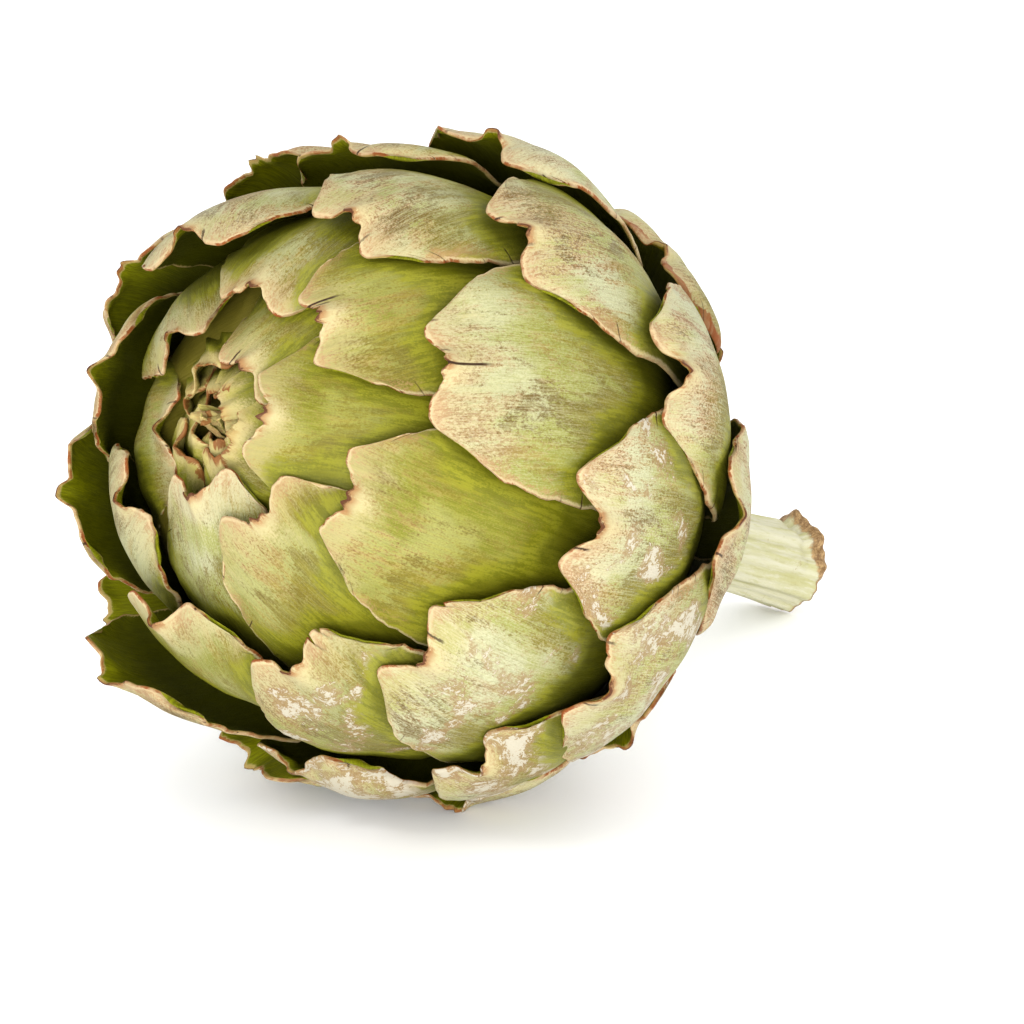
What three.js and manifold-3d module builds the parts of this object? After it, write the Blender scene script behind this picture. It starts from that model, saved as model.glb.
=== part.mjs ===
// A globe artichoke, as picked, lying on its side: a flower head of overlapping bracts on a
// length of cut stem. Millimetres, +Z up, the surface that it lies on at z = 0, the origin in the
// middle of the flat spot on which the head rests, the stem towards +X.
//
// Each large bract is a solid of its own, as it comes away when it is plucked. The small leaves
// that close the tip grow from the core of the bud, and the heart and the stem are one piece.
//
// The head is worked out in a frame of its own: its centre at the origin, its axis along +Z to
// the tip. A direction from the centre is given by two angles in degrees: "down", from the tip,
// and "round", about the axis.

import * as THREE from "three";
import { mergeVertices } from "three/addons/utils/BufferGeometryUtils.js";
import Module from "manifold-3d";

const wasm = await Module();
wasm.setup();

// The head and how it lies.
const HEAD_RADIUS = 56.2;
const CENTRE_HEIGHT = 54.8; // less than the radius: the lowest bracts are pressed flat
const CENTRE_BACK = 5; // how far it lies from the middle of that flat spot, away from the stem
const LEAN = 23.2; // how far the axis rises from the surface towards the tip
const TIP_FLATTENING = 0.09; // how much lower the tip lies, as a share of the radius
const TIP_FLATTENED_TO = 32; // the angle down where that has faded
const SWELLING = 3.4; // how far the head swells on one side towards the stem
const SWELLING_DOWN = 104; // the angles down and round of the middle of that swelling
const SWELLING_ROUND = 265;
const SWELLING_SPREAD = 34;
const BASE_FLATTENING = 0.1; // how much lower it lies round the stem
const BASE_FLATTENED_FROM = 112;

// The spiral in which the bracts grow. Bract 1 is the innermost that stands free, and the small
// leaves of the tip are numbered on from it: 0, -1, -2 and so on.
const BRACTS = 51;
const TIP_LEAVES = 11;
const DIVERGENCE = 137.6;
const FIRST_ROUND = 110;
const DOWN_PER_BRACT = 2.8;
const HOLE = 4; // the angle down of the small hole at the tip, which the leaves close round
const LAYER = 0.43; // how much further out each bract lies than the one before
const INNER_LAYERS = 6; // how much thicker the pack of the first bracts is than that gives
const INNER_BRACTS = 12;
const LEAF_LAYER = 0.3; // how much further in each small leaf of the tip lies than the one before
const ROOT_FIRST = 120; // the angle down where the innermost bract meets the heart
const ROOT_LAST = 163; // where the outermost one does

// Where some bracts have slipped from the spiral: degrees down, degrees round, and twist.
const SLIPS = {
  [-10]: [-2, 0, 0], [-9]: [1, 0, 0], [-8]: [-3, 0, 0], [-7]: [0, -10, 0], [-6]: [0, 0, 0],
  [-5]: [1, -20, 0], [-4]: [6, 0, 0], [-3]: [-3, 0, 0], [-2]: [5, -35, 0], [-1]: [6, 20, 0],
  0: [0, 13, 0], 1: [11, -6, 0], 2: [3, 2, 0], 3: [2, -13, -14], 4: [9, -2, 6], 5: [-3, 4, 8],
  6: [8, -9, -2], 7: [3, -7, 0], 8: [-3, 4, 6], 9: [8, -5, 0], 10: [-2, 9, 13], 11: [4, -2, -14],
  12: [-5, -10, -6], 13: [-5, -1, 0], 14: [8, -6, 0], 15: [-1, -1, 0], 16: [-1, 5, -8],
  17: [5, -5, -2], 18: [-7, 4, 0], 19: [-2, 6, 0], 20: [7, -4, 0], 21: [-4, -3, -4],
  22: [6, 0, 0], 23: [-1, -1, 5], 24: [6, 2, 0], 25: [1, -11, 0], 26: [-3, -1, -6],
  28: [-1, -5, -8], 29: [-1, 4, -8], 31: [-2, -6, -4], 34: [-11, -4, -4], 36: [9, -2, -8],
  37: [0, 2, 4], 39: [-8, -5, 6], 45: [-12, 4, 0], 49: [1, 3, 0],
};
const TWIST_FADES = 25; // degrees below the tip over which a twisted bract turns back

// One bract: its outline, the relief of its tip and its thickness.
const HALF_WIDTH = 22;
const TIP_HALF_WIDTH = 11;
const WIDENS_OVER = 13;
const LOBE_AT = 0.6; // where the two lobes of the tip stand, as a share of the half width
const NOTCH_DEPTH = 3.6;
const SHOULDER_DROP = 6;
const EDGE_FADES = 12;
const NOTCH_LIFT = 1.6;
const LOBE_CURL = 0.7;
const WAVE = 0.5;
const EDGE_THICKNESS = 0.7;
const MIDDLE_THICKNESS = 1.6;
const THICKENS_OVER = 9;

// How far the bracts sink back from their tips, so that the tips stand off.
const CLOSED_GAP = 0.9;
const OPEN_GAP = 6;
const OPEN_LIFT = 4;
const OPEN_SIDE = 90; // the angle round where the bracts have opened most
const OPENS_OVER = 0.35; // how gently that side passes into the closed one, as a cosine
const OUTER_GAP = 2.2;
const OUTER_GAP_CLOSED = 0.4; // the share of it on the side that has stayed closed
const SINKS_OVER = 40;
const PLUMPNESS = 2.2; // how far the outer bracts swell below their tips on the closed side
const SWELLS_OVER = 9;
const DOME = 1.5; // how far the middle of a bract stands above its edges
const DOME_LENGTH = 38;

// The core of the bud, the heart and the stem.
const CORE_SEGMENTS = 24;
const HOLE_DEPTH = 12;
const HOLE_SPREAD = 17;
const ROOT_SINKS = 2.5; // how far the root of a small leaf goes into the core
const SMALLEST_EDGE = 0.05;
const STEM_RADIUS = 7.1;
const NECK_LENGTH = 16;
const STEM_END = 120; // from the head's centre to the cut
const STEM_SEGMENTS = 36;
const STEM_RIBS = 9;
const RIB_HEIGHT = 0.35;
const CUT_FLARE = 1.2;
const CUT_HOLLOW = 1.2;
const GAP = 0.3;

const OUTER_GREEN = 0xb9b765;
const YOUNG_GREEN = 0xc9bd7c;
const STEM_GREEN = 0xc9c88f;

const { degToRad, radToDeg, clamp, smoothstep, lerp } = THREE.MathUtils;
const sin = (degrees) => Math.sin(degToRad(degrees));
const cos = (degrees) => Math.cos(degToRad(degrees));

// Degrees of arc on the head, for a length in mm.
const arc = (length) => radToDeg(length / HEAD_RADIUS);

// A number from -1 to 1 that is each bract's own.
function chance(bract, draw) {
  const wide = Math.sin(bract * 12.9898 + draw * 78.233) * 43758.5453;
  return 2 * (wide - Math.floor(wide)) - 1;
}

// Each bract's place in the spiral, where its tip is, and where it meets the heart.
const turn = (bract) => DOWN_PER_BRACT * (bract - 0.5);
const slip = (bract) => SLIPS[bract] ?? [0, 0, 0];
const tipDown = (bract) => Math.hypot(Math.max(turn(bract), 0), HOLE) + slip(bract)[0];
const tipRound = (bract) => FIRST_ROUND - DIVERGENCE * (bract - 1) + slip(bract)[1];
const rootDown = (bract) => lerp(ROOT_FIRST, ROOT_LAST, (bract - 1) / (BRACTS - 1));
const growth = (bract) =>
  (0.6 + 0.4 * smoothstep(bract, -5, 2)) * (1 - 0.58 * smoothstep(bract, 36, 56));

// How far the bracts have opened on a side, from 0 to 1.
const openness = (round) => smoothstep(cos(round - OPEN_SIDE), -OPENS_OVER, OPENS_OVER);

// The envelope of the head, which the tips of the bracts reach. The surface that it lies on
// presses it flat.
const UP = new THREE.Vector3(cos(LEAN), 0, sin(LEAN));
function envelope(down, round) {
  const flatter = TIP_FLATTENING * Math.exp(-((down / TIP_FLATTENED_TO) ** 2));
  const lifted = smoothstep(down, 10, 40) * (1 - smoothstep(down, 55, 95));
  const base = BASE_FLATTENING * smoothstep(down, BASE_FLATTENED_FROM, 180);
  const swollen = SWELLING * Math.exp(-(((down - SWELLING_DOWN) / SWELLING_SPREAD) ** 2));
  const sideways = 0.5 + 0.5 * cos(round - SWELLING_ROUND);
  const lift = OPEN_LIFT * openness(round) * lifted;
  const radius = HEAD_RADIUS * (1 - flatter - base) + swollen * sideways + lift;
  const downwards = -(sin(down) * cos(round) * UP.x + cos(down) * UP.z);
  return downwards > 0.5 ? Math.min(radius, CENTRE_HEIGHT / downwards) : radius;
}

// How far a bract lies below the envelope once it has sunk back from its tip.
function gap(down, round) {
  const opened = OPEN_GAP * openness(round) * smoothstep(down, 6, 26);
  const outer = OUTER_GAP * smoothstep(down, 50, 85) * lerp(OUTER_GAP_CLOSED, 1, openness(round));
  return CLOSED_GAP + opened * (1 - smoothstep(down, 90, 120)) + outer;
}

// How thick the pack of bracts has grown with a bract.
const pack = (bract) =>
  bract < 0
    ? LEAF_LAYER * bract - INNER_LAYERS
    : LAYER * bract - INNER_LAYERS * Math.exp(-bract / INNER_BRACTS);

// The radius of a bract's outer face. All follow one rule, each a layer further out than the one
// before it, so that no two meet.
function shell(bract, down, round) {
  const below = down - turn(bract);
  const sunk = 1 - clamp(1 - below / SINKS_OVER, 0, 1.2) ** 2;
  const inwards = pack(bract + below / DOWN_PER_BRACT) - pack(bract);
  const plump = PLUMPNESS * (1 - openness(round)) * smoothstep(bract, 8, 24);
  const swollen = plump * (1 - Math.exp(-Math.max(0, below) / SWELLS_OVER));
  return envelope(down, round) - inwards - gap(down, round) * sunk + swollen;
}

// The half width of a bract in degrees, at a distance below its tip.
function halfWidth(bract, below, down) {
  const grown = HALF_WIDTH - (HALF_WIDTH - TIP_HALF_WIDTH) * Math.exp(-below / WIDENS_OVER);
  const roomAtRoot = 23 - 15.5 * smoothstep(down, 96, 168);
  return Math.min(arc(grown * growth(bract) * (1 + 0.06 * chance(bract, 1))), roomAtRoot);
}

// How far the tip's edge lies below its lobes: the notch in the middle and the shoulders.
function tipEdge(bract, across) {
  const off = Math.abs(across);
  const uneven = 0.9 * chance(bract, 2) * across;
  const depth = NOTCH_DEPTH * (1 + 0.25 * chance(bract, 3));
  const notch = off < LOBE_AT ? 0.5 * depth * (1 + Math.cos((Math.PI * off) / LOBE_AT)) : 0;
  const shoulder = SHOULDER_DROP * (Math.max(0, off - LOBE_AT) / (1 - LOBE_AT)) ** 1.6;
  return (notch + shoulder + uneven) * Math.min(1, growth(bract));
}

// The relief of a bract's tip: the notch stands up, the lobes curl down, and the edge waves.
function relief(bract, across, below) {
  const nearTip = Math.exp(-below / 6);
  const off = Math.abs(across);
  const notch = NOTCH_LIFT * Math.exp(-((across / 0.28) ** 2));
  const lobes = LOBE_CURL * smoothstep(off, 0.2, 0.6);
  const wave = WAVE * smoothstep(off, 0.4, 1) * Math.sin(below / 3 + 5 * chance(bract, 4) + across);
  const dome = DOME * (1 - across * across) * Math.sin(Math.PI * clamp(below / DOME_LENGTH, 0, 1));
  return growth(bract) * (nearTip * (notch - lobes) + wave * Math.exp(-below / 20) + dome);
}

// A direction, some degrees across from a bract's middle line.
function directionAt(down, round, side) {
  const middle = new THREE.Vector3(sin(down) * cos(round), sin(down) * sin(round), cos(down));
  const sideways = new THREE.Vector3(-sin(round), cos(round), 0);
  return middle.multiplyScalar(cos(side)).addScaledVector(sideways, sin(side));
}
const downOf = (direction) => radToDeg(Math.acos(clamp(direction.z, -1, 1)));
const roundOf = (direction) => radToDeg(Math.atan2(direction.y, direction.x));

// A point of a bract: across from -1 to 1, and so many degrees below the tip. The weight of the
// head bends up what would reach below the surface.
function bractPoint(bract, across, below, inner) {
  const down = tipDown(bract) + below + arc(tipEdge(bract, across)) * Math.exp(-below / EDGE_FADES);
  const side = across * halfWidth(bract, below, down);
  const twist = sin(slip(bract)[2]);
  const left = Math.exp(-below / TWIST_FADES);
  const swung = twist * TWIST_FADES * (1 - left);
  const direction = directionAt(down + twist * side * left, tipRound(bract), side - swung);
  const middle = lerp(MIDDLE_THICKNESS, EDGE_THICKNESS, Math.exp(-below / THICKENS_OVER));
  const thickness = lerp(middle, EDGE_THICKNESS, across * across);
  const radius = shell(bract, downOf(direction), roundOf(direction)) + relief(bract, across, below);
  const sunken = Math.min(0, CENTRE_HEIGHT + radius * direction.dot(UP));
  return direction.multiplyScalar(inner ? radius - thickness : radius).addScaledVector(UP, -sunken);
}

// A closed blade: a grid of points on its outer face, the same grid on its inner face split into
// triangles alike, and a rim between them.
function bladeGeometry(acrossSteps, belowSteps, pointAt) {
  const columns = acrossSteps.length;
  const rows = belowSteps.length;
  const positions = [];
  for (const inner of [false, true])
    for (const below of belowSteps)
      for (const across of acrossSteps) positions.push(...pointAt(across, below, inner));
  const at = (face, row, column) => (face * rows + row) * columns + column;
  const index = [];
  for (let row = 0; row + 1 < rows; row++)
    for (let column = 0; column + 1 < columns; column++)
      for (const face of [0, 1]) {
        const a = at(face, row, column);
        const b = at(face, row, column + 1);
        const c = at(face, row + 1, column + 1);
        const d = at(face, row + 1, column);
        if (face) index.push(a, b, c, a, c, d);
        else index.push(a, c, b, a, d, c);
      }
  const rim = [];
  for (let column = 0; column < columns; column++) rim.push([0, column]);
  for (let row = 1; row < rows; row++) rim.push([row, columns - 1]);
  for (let column = columns - 2; column >= 0; column--) rim.push([rows - 1, column]);
  for (let row = rows - 2; row > 0; row--) rim.push([row, 0]);
  rim.forEach(([row, column], i) => {
    const [nextRow, nextColumn] = rim[(i + 1) % rim.length];
    const a = at(0, row, column);
    const b = at(0, nextRow, nextColumn);
    const c = at(1, nextRow, nextColumn);
    const d = at(1, row, column);
    index.push(a, b, c, a, c, d);
  });
  const geometry = new THREE.BufferGeometry();
  geometry.setAttribute("position", new THREE.Float32BufferAttribute(positions, 3));
  geometry.setIndex(index);
  return geometry;
}

// A closed round body: rings of points from the one on the axis at the top to the one at the
// bottom, where pointAt gives each ring's radius and height.
function roundGeometry(rings, segments, pointAt) {
  const positions = [];
  for (let ring = 0; ring <= rings; ring++)
    for (let segment = 0; segment < segments; segment++) {
      const round = (360 * segment) / segments;
      const point = pointAt(ring, ring === 0 ? 0 : round);
      positions.push(point.x * cos(round), point.x * sin(round), point.y);
    }
  const index = [];
  for (let ring = 0; ring < rings; ring++)
    for (let segment = 0; segment < segments; segment++) {
      const next = (segment + 1) % segments;
      const a = ring * segments + segment;
      const b = ring * segments + next;
      const c = (ring + 1) * segments + next;
      const d = (ring + 1) * segments + segment;
      if (ring > 0) index.push(a, c, b);
      if (ring < rings - 1) index.push(a, d, c);
    }
  const geometry = new THREE.BufferGeometry();
  geometry.setAttribute("position", new THREE.Float32BufferAttribute(positions, 3));
  geometry.setIndex(index);
  return mergeVertices(geometry, 1e-4);
}

// A closed geometry as a solid, and back.
function solidOf(geometry) {
  const merged = mergeVertices(geometry, 1e-4);
  return new wasm.Manifold(
    new wasm.Mesh({
      numProp: 3,
      vertProperties: merged.attributes.position.array,
      triVerts: new Uint32Array(merged.index.array),
    }),
  );
}

function geometryOf(solid) {
  const mesh = solid.getMesh();
  const geometry = new THREE.BufferGeometry();
  geometry.setAttribute("position", new THREE.BufferAttribute(mesh.vertProperties, 3));
  geometry.setIndex(new THREE.BufferAttribute(mesh.triVerts, 1));
  return geometry;
}

// How the head lies on the surface.
const lying = new THREE.Matrix4()
  .makeTranslation(-CENTRE_BACK, 0, CENTRE_HEIGHT)
  .multiply(new THREE.Matrix4().makeRotationY(degToRad(LEAN - 90)));

// A large bract. Where it reaches below the surface it is pressed flat.
const ACROSS_STEPS = [-1, -0.82, -0.6, -0.3, 0, 0.3, 0.6, 0.82, 1];
const TIP_STEPS = [0, 3.5, 9];
const BODY_STEP = 17; // degrees between the rows below the tip, the same rows for every bract

function bractGeometry(bract) {
  const down = tipDown(bract);
  const root = rootDown(bract);
  const rows = TIP_STEPS.filter((below) => down + below < root - 4);
  const lowest = down + rows.at(-1);
  for (let at = Math.ceil(lowest / BODY_STEP) * BODY_STEP; at < root - 5; at += BODY_STEP)
    if (at > lowest + 5) rows.push(at - down);
  rows.push(root - down);
  return bladeGeometry(ACROSS_STEPS, rows, (across, below, inner) =>
    bractPoint(bract, across, below, inner));
}

// The outline of the heart: a ring where each bract meets it, from the innermost to the outermost.
function heartRing(bract) {
  const down = rootDown(bract);
  const radius = shell(bract, down, OPEN_SIDE) - MIDDLE_THICKNESS - GAP;
  return new THREE.Vector2(radius * sin(down), radius * cos(down));
}

// A point of a small leaf of the tip.
function leafPoint(leaf, across, below, inner) {
  const sunken = ROOT_SINKS * smoothstep(below, 8, 30);
  return bractPoint(leaf, across, below, inner).multiplyScalar(1 - sunken / HEAD_RADIUS);
}

// The closed bud: its core, with the small leaves of the tip round a hole.
const CORE_STEPS = [0, 3, 7, 14, 24, 34, 51, 68, 85, 102];
function budGeometry() {
  const rim = heartRing(1);
  const core = roundGeometry(CORE_STEPS.length + 1, CORE_SEGMENTS, (ring, round) => {
    const base = rim.y + GAP;
    if (ring > CORE_STEPS.length) return new THREE.Vector2(0, base);
    if (ring === CORE_STEPS.length) return new THREE.Vector2(rim.x - 1, base);
    const down = CORE_STEPS[ring];
    const hole = HOLE_DEPTH * Math.exp(-((down / HOLE_SPREAD) ** 2));
    const radius = shell(1, down, round) - MIDDLE_THICKNESS - GAP - hole;
    return new THREE.Vector2(radius * sin(down), radius * cos(down));
  });
  let bud = solidOf(core);
  for (let leaf = 0; leaf > -TIP_LEAVES; leaf--) {
    const blade = bladeGeometry([-1, -0.6, 0, 0.6, 1], [0, 3, 8, 17, 30], (across, below, inner) =>
      leafPoint(leaf, across, below, inner));
    bud = bud.add(solidOf(blade));
  }
  return geometryOf(bud.asOriginal().simplify(SMALLEST_EDGE));
}

// The heart and the stem, with its ribs and its cut end.
function stemGeometry() {
  const profile = [new THREE.Vector2(0, heartRing(1).y)];
  for (const bract of [1, 13, 26, 39, BRACTS]) profile.push(heartRing(bract));
  const collar = profile.at(-1);
  const ribbedFrom = profile.length;
  for (const share of [0.3, 0.65, 1]) {
    const radius = lerp(collar.x, STEM_RADIUS, Math.sin((Math.PI / 2) * share));
    profile.push(new THREE.Vector2(radius, collar.y - NECK_LENGTH * share));
  }
  const neck = profile.at(-1).y;
  for (const share of [0.25, 0.5, 0.75, 0.9, 1]) {
    const radius = STEM_RADIUS + CUT_FLARE * share ** 6;
    profile.push(new THREE.Vector2(radius, lerp(neck, -STEM_END, share)));
  }
  profile.push(new THREE.Vector2(STEM_RADIUS * 0.75, CUT_HOLLOW * 0.4 - STEM_END));
  profile.push(new THREE.Vector2(0, CUT_HOLLOW - STEM_END));
  return roundGeometry(profile.length - 1, STEM_SEGMENTS, (ring, round) => {
    const { x, y } = profile[ring];
    const ribbed = ring >= ribbedFrom && ring < profile.length - 2;
    return new THREE.Vector2(x + (ribbed ? RIB_HEIGHT * cos(STEM_RIBS * round) : 0), y);
  });
}

const head = new THREE.Group();
head.matrixAutoUpdate = false;
head.matrix.copy(lying);

const material = (color, roughness) =>
  new THREE.MeshStandardMaterial({ color, roughness, metalness: 0 });

function addPiece(name, geometry, finish) {
  const mesh = new THREE.Mesh(geometry, finish);
  mesh.name = name;
  head.add(mesh);
}

addPiece("stem_and_heart", stemGeometry(), material(STEM_GREEN, 0.7));
addPiece("heart_leaves", budGeometry(), material(YOUNG_GREEN, 0.6));
for (let bract = 1; bract <= BRACTS; bract++) {
  const name = `bract_${String(bract).padStart(2, "0")}`;
  addPiece(name, bractGeometry(bract), material(OUTER_GREEN, 0.6));
}

const artichoke = new THREE.Group();
artichoke.add(head);
export default artichoke;
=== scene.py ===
"""A globe artichoke lying on a pale surface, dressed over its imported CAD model.

Lengths in the shape code are millimetres, in the part's own frame; meshes are written in metres.
The head has a frame of its own, with its centre at the origin and its axis along +Z to the tip: a
direction is given by how far down it is from the tip and how far around the axis, in degrees. A
degree down is about a millimetre, and positions across a bract run from -1 to 1.
"""

import math

import bpy
import numpy as np
from mathutils import Matrix


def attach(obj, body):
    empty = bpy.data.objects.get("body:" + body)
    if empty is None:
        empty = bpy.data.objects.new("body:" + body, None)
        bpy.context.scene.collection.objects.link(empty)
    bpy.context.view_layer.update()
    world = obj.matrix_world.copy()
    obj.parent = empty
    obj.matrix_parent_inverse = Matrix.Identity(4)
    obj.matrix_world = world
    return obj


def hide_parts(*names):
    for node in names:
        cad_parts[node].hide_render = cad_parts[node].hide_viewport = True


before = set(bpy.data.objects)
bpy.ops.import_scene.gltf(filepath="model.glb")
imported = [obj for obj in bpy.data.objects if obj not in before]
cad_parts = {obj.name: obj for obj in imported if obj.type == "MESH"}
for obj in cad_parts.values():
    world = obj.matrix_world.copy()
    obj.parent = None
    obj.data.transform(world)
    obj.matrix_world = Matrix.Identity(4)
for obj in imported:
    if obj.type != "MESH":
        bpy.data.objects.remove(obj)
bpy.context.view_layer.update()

MM = 0.001

# ---- The head, as in the CAD source, in mm and degrees ----
HEAD_RADIUS = 56.2
CENTRE = np.array([-5.0, 0.0, 54.8])  # less high than the radius: the head is pressed flat there
LEAN = 23.2  # how far the axis rises from the surface towards the tip
TIP_FLATTENING, TIP_FLATTENED_TO = 0.09, 32.0  # a share of the radius, and how far down it fades
BASE_FLATTENING, BASE_FLATTENED_FROM = 0.1, 112.0  # the same round the stem
# How far the head swells on one side towards the stem, with that side's middle and spread.
SWELLING, SWELLING_DOWN, SWELLING_ROUND, SWELLING_SPREAD = 3.4, 104.0, 265.0, 34.0

# The spiral. Bract 1 is the innermost that stands free, and the small leaves of the tip are
# numbered on from it: 0, -1, -2 and so on.
BRACTS, TIP_LEAVES = 51, 11
DIVERGENCE, FIRST_ROUND, DOWN_PER_BRACT = 137.6, 110.0, 2.8
HOLE = 4.0  # the angle down of the small hole at the tip, which the leaves close round
ROOT_FIRST, ROOT_LAST = 120.0, 163.0  # the angles down where bracts 1 and 51 meet the heart
LAYER = 0.43  # how much further out each bract lies than the one before
INNER_LAYERS, INNER_BRACTS = 6.0, 12.0  # how much more that is for the first ones, in all
LEAF_LAYER = 0.3  # how much further in each small leaf lies than the one before
TWIST_FADES = 25.0  # degrees below the tip over which a twisted bract turns back

# One bract: its outline, the relief of its tip and its thickness.
HALF_WIDTH, TIP_HALF_WIDTH, WIDENS_OVER = 22.0, 11.0, 13.0
LOBE_AT = 0.6  # where the two lobes of the tip stand, as a share of the half width
NOTCH_DEPTH, SHOULDER_DROP, EDGE_FADES = 3.6, 6.0, 12.0
NOTCH_LIFT, LOBE_CURL, WAVE = 1.6, 0.7, 0.5
DOME, DOME_LENGTH = 1.5, 38.0  # how far its middle stands above its edges
EDGE_THICKNESS, MIDDLE_THICKNESS, THICKENS_OVER = 0.7, 1.6, 9.0

# How far the bracts sink back from their tips, so that the tips stand off.
OPEN_SIDE, OPENS_OVER = 90.0, 0.35  # where round they have opened most, and how gently that fades
CLOSED_GAP, OPEN_GAP, OPEN_LIFT = 0.9, 6.0, 4.0
OUTER_GAP, OUTER_GAP_CLOSED, SINKS_OVER = 2.2, 0.4, 40.0
PLUMPNESS, SWELLS_OVER = 2.2, 9.0  # how far the outer ones swell below their tips, if closed

# The bud's core and small leaves, the heart and the stem.
CORE_RINGS = (0, 3, 7, 14, 24, 34, 51, 68, 85, 102)  # angles down
HOLE_DEPTH, HOLE_SPREAD = 12, 17  # how deep the core is hollowed at the tip, and how wide
LEAF_LENGTH = 30.0
ROOT_SINKS = 2.5  # how far the root of a small leaf goes into the core
HEART_RINGS = (1, 13, 26, 39, BRACTS)  # the bracts whose roots the heart's surface goes through
STEM_RADIUS, NECK_LENGTH = 7.1, 16.0
STEM_END = 120.0  # from the head's centre to the cut
STEM_RIBS, RIB_HEIGHT, CUT_FLARE, CUT_HOLLOW = 9, 0.35, 1.2, 1.2
GAP = 0.3

# Degrees down, degrees round and twist of the bracts that have slipped from the spiral.
SLIPS = {
    -10: (-2, 0, 0), -9: (1, 0, 0), -8: (-3, 0, 0), -7: (0, -10, 0),
    -5: (1, -20, 0), -4: (6, 0, 0), -3: (-3, 0, 0), -2: (5, -35, 0), -1: (6, 20, 0),
    0: (0, 13, 0), 1: (11, -6, 0), 2: (3, 2, 0), 3: (2, -13, -14), 4: (9, -2, 6), 5: (-3, 4, 8),
    6: (8, -9, -2), 7: (3, -7, 0), 8: (-3, 4, 6), 9: (8, -5, 0), 10: (-2, 9, 13),
    11: (4, -2, -14), 12: (-5, -10, -6), 13: (-5, -1, 0), 14: (8, -6, 0), 15: (-1, -1, 0),
    16: (-1, 5, -8), 17: (5, -5, -2), 18: (-7, 4, 0), 19: (-2, 6, 0), 20: (7, -4, 0),
    21: (-4, -3, -4), 22: (6, 0, 0), 23: (-1, -1, 5), 24: (6, 2, 0), 25: (1, -11, 0),
    26: (-3, -1, -6), 28: (-1, -5, -8), 29: (-1, 4, -8), 31: (-2, -6, -4), 34: (-11, -4, -4),
    36: (9, -2, -8), 37: (0, 2, 4), 39: (-8, -5, 6), 45: (-12, 4, 0), 49: (1, 3, 0),
}


def sin(degrees):
    return np.sin(np.radians(degrees))


def cos(degrees):
    return np.cos(np.radians(degrees))


def arc(length):
    """Degrees of arc on the head."""
    return np.degrees(length / HEAD_RADIUS)


def smooth(x, low, high):
    """A gentle step from 0 at low to 1 at high."""
    t = np.clip((x - low) / (high - low), 0.0, 1.0)
    return t * t * (3.0 - 2.0 * t)


def mix(a, b, share):
    return a + (b - a) * share


def chance(bract, draw):
    """A number from -1 to 1 that is the bract's own, another one for each draw."""
    wide = math.sin(bract * 12.9898 + draw * 78.233) * 43758.5453
    return 2.0 * (wide - math.floor(wide)) - 1.0


def slip(bract):
    """How far a bract has slipped: degrees down, degrees round, twist."""
    return SLIPS.get(bract, (0, 0, 0))


def turn(bract):
    """The angle down of a bract's place on the spiral."""
    return DOWN_PER_BRACT * (bract - 0.5)


def tip_down(bract):
    return math.hypot(max(turn(bract), 0.0), HOLE) + slip(bract)[0]


def tip_round(bract):
    return FIRST_ROUND - DIVERGENCE * (bract - 1) + slip(bract)[1]


def root_down(bract):
    return mix(ROOT_FIRST, ROOT_LAST, (bract - 1) / (BRACTS - 1))


def growth(bract):
    """How large a bract has grown, as a share of the largest."""
    return (0.6 + 0.4 * smooth(bract, -5, 2)) * (1 - 0.58 * smooth(bract, 36, 56))


def openness(around):
    """How far the bracts have opened, from 0 to 1."""
    return smooth(cos(around - OPEN_SIDE), -OPENS_OVER, OPENS_OVER)


UP = np.array([cos(LEAN), 0.0, sin(LEAN)])


def envelope(down, around):
    """The radius of the whole head, pressed flat where it would reach below the floor."""
    flatter = TIP_FLATTENING * np.exp(-((down / TIP_FLATTENED_TO) ** 2))
    base = BASE_FLATTENING * smooth(down, BASE_FLATTENED_FROM, 180)
    lifted = smooth(down, 10, 40) * (1 - smooth(down, 55, 95))
    swollen = SWELLING * np.exp(-(((down - SWELLING_DOWN) / SWELLING_SPREAD) ** 2))
    swollen = swollen * (0.5 + 0.5 * cos(around - SWELLING_ROUND))
    radius = HEAD_RADIUS * (1 - flatter - base) + swollen + OPEN_LIFT * openness(around) * lifted
    # Only what points well down can meet the floor.
    downwards = -(sin(down) * cos(around) * UP[0] + cos(down) * UP[2])
    pressed = CENTRE[2] / np.maximum(downwards, 0.5)
    return np.where(downwards > 0.5, np.minimum(radius, pressed), radius)


def gap(down, around):
    """How far a bract sinks back below its tip."""
    opened = OPEN_GAP * openness(around) * smooth(down, 6, 26)
    outer = OUTER_GAP * smooth(down, 50, 85) * mix(OUTER_GAP_CLOSED, 1, openness(around))
    return CLOSED_GAP + opened * (1 - smooth(down, 90, 120)) + outer


def pack(bract):
    """How far out a bract lies, counted in the layers under it."""
    packed = LAYER * bract - INNER_LAYERS * np.exp(-np.maximum(bract, 0) / INNER_BRACTS)
    return np.where(np.less(bract, 0), LEAF_LAYER * bract - INNER_LAYERS, packed)


def shell(bract, down, around):
    """The radius of a bract's outer face: each a layer further out than the one before it."""
    below = down - turn(bract)
    sunk = 1 - np.clip(1 - below / SINKS_OVER, 0.0, 1.2) ** 2
    inwards = pack(bract + below / DOWN_PER_BRACT) - pack(bract)
    plump = PLUMPNESS * (1 - openness(around)) * smooth(bract, 8, 24)
    swollen = plump * (1 - np.exp(-np.maximum(0, below) / SWELLS_OVER))
    return envelope(down, around) - inwards - gap(down, around) * sunk + swollen


def half_width(bract, below, down):
    """Half a bract's width in degrees: there is less room for it towards the stem."""
    grown = HALF_WIDTH - (HALF_WIDTH - TIP_HALF_WIDTH) * np.exp(-below / WIDENS_OVER)
    room = 23 - 15.5 * smooth(down, 96, 168)
    return np.minimum(arc(grown * growth(bract) * (1 + 0.06 * chance(bract, 1))), room)


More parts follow.
